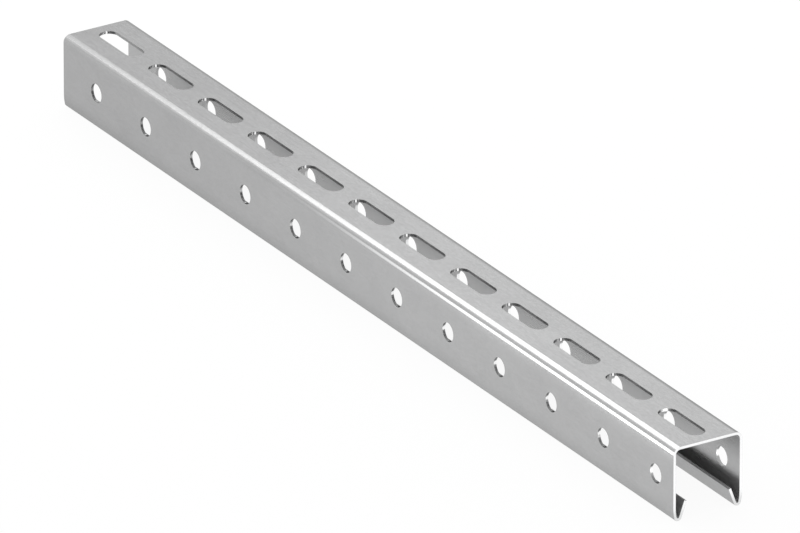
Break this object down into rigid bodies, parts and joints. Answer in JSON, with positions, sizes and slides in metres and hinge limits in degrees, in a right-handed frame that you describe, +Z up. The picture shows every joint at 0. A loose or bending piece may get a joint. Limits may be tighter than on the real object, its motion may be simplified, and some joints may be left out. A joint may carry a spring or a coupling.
{
  "type": "strut channel",
  "caption": "Slotted strut channel: a steel C section with inturned lips, a slotted web and facing round holes in its walls.",
  "frame": {"origin": "on the floor under the folds of the lips, at the middle of the length and of the width", "axes": "+X along the channel, +Z up through the web, which is on top, the open side faces down"},
  "size_m": [0.6, 0.041, 0.041],
  "materials": {
    "galvanised_steel": "zinc coated, smooth and slightly glossy"
  },
  "bodies": {
    "root": {"strut_channel": "galvanised_steel"}
  },
  "joints": []
}
